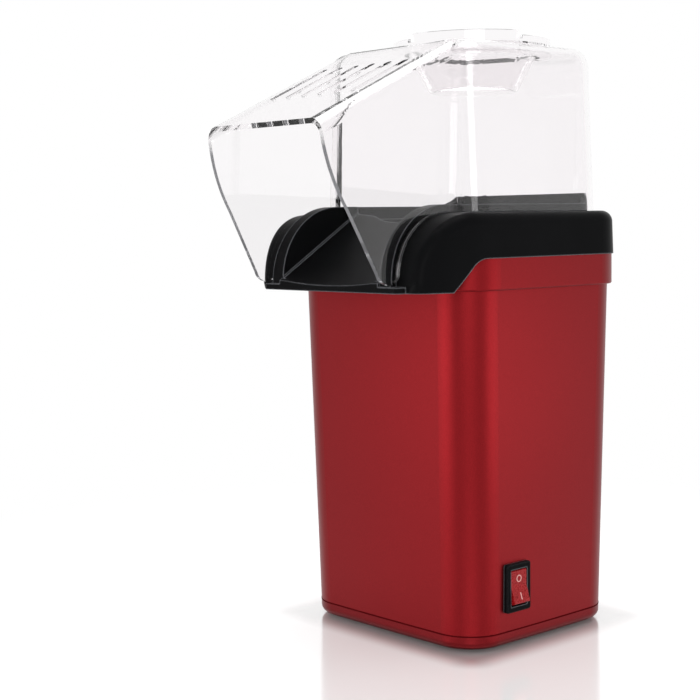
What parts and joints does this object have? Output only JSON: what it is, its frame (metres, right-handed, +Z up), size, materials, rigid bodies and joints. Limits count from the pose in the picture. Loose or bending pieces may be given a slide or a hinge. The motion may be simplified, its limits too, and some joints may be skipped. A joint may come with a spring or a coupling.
{
  "type": "popcorn maker",
  "caption": "Tabletop hot-air popcorn maker: red body column with rocker switch, black top with pouring spout, clear lift-off cover and measuring cup.",
  "frame": {"origin": "middle of the overall footprint on the plane that the feet stand on", "axes": "+Z up, +X the side that carries the switch, -Y the front, where the spout pours"},
  "size_m": [0.1166, 0.1646, 0.264],
  "materials": {
    "red_paint": "metallic red, satin gloss",
    "red_plastic": "red, satin",
    "rubber": "matte",
    "steel": "plated",
    "black_plastic": "satin black moulding",
    "aluminium": "spun",
    "mica": "pale insulating sheet",
    "resistance_wire": "oxidised wire",
    "white_plastic": "heat-resistant moulding",
    "board": "phenolic board",
    "brass": "plain",
    "red_clear": "translucent red",
    "clear_plastic": "clear moulded plastic"
  },
  "bodies": {
    "housing": {"body_shell": "red_paint", "collar_band": "red_paint", "base_cover": "red_plastic", "rubber_feet": "rubber", "base_screws": "steel", "upper_housing": "black_plastic", "housing_screws": "steel", "popping_chamber": "aluminium", "insulation_washer": "mica", "chamber_ring": "steel", "ring_screws": "steel", "heater_duct": "steel", "mica_cross": "mica", "heating_coil": "resistance_wire", "thermostat": "steel", "thermal_fuse": "white_plastic", "fan_housing": "white_plastic", "post_screws": "steel", "motor_can": "steel", "motor_end_cap": "white_plastic", "motor_screws": "steel", "rectifier_board": "board", "rectifier_diodes": "black_plastic", "switch_frame": "black_plastic", "switch_terminals": "brass", "cord_gland": "rubber"},
    "fan": {"motor_shaft": "steel", "fan_impeller": "white_plastic"},
    "rocker": {"switch_rocker": "red_clear"},
    "cover": {"clear_cover": "clear_plastic"},
    "cup": {"measuring_cup": "clear_plastic"}
  },
  "joints": [
    {"name": "fan_spin", "type": "hinge", "parent": "housing", "child": "fan", "pos_m": [0, 0.02985, 0.071], "axis": [0, 0, 1], "continuous": true},
    {"name": "rocker_tip", "type": "hinge", "parent": "housing", "child": "rocker", "pos_m": [0.05332, 0.00835, 0.026], "axis": [0, 1, 0], "range_deg": [0, 18]},
    {"name": "cover_lift", "type": "slide", "parent": "housing", "child": "cover", "axis": [0, 0, 1], "range_m": [0, 0.05]},
    {"name": "cup_lift", "type": "slide", "parent": "cover", "child": "cup", "axis": [0, 0, 1], "range_m": [0, 0.04]}
  ]
}
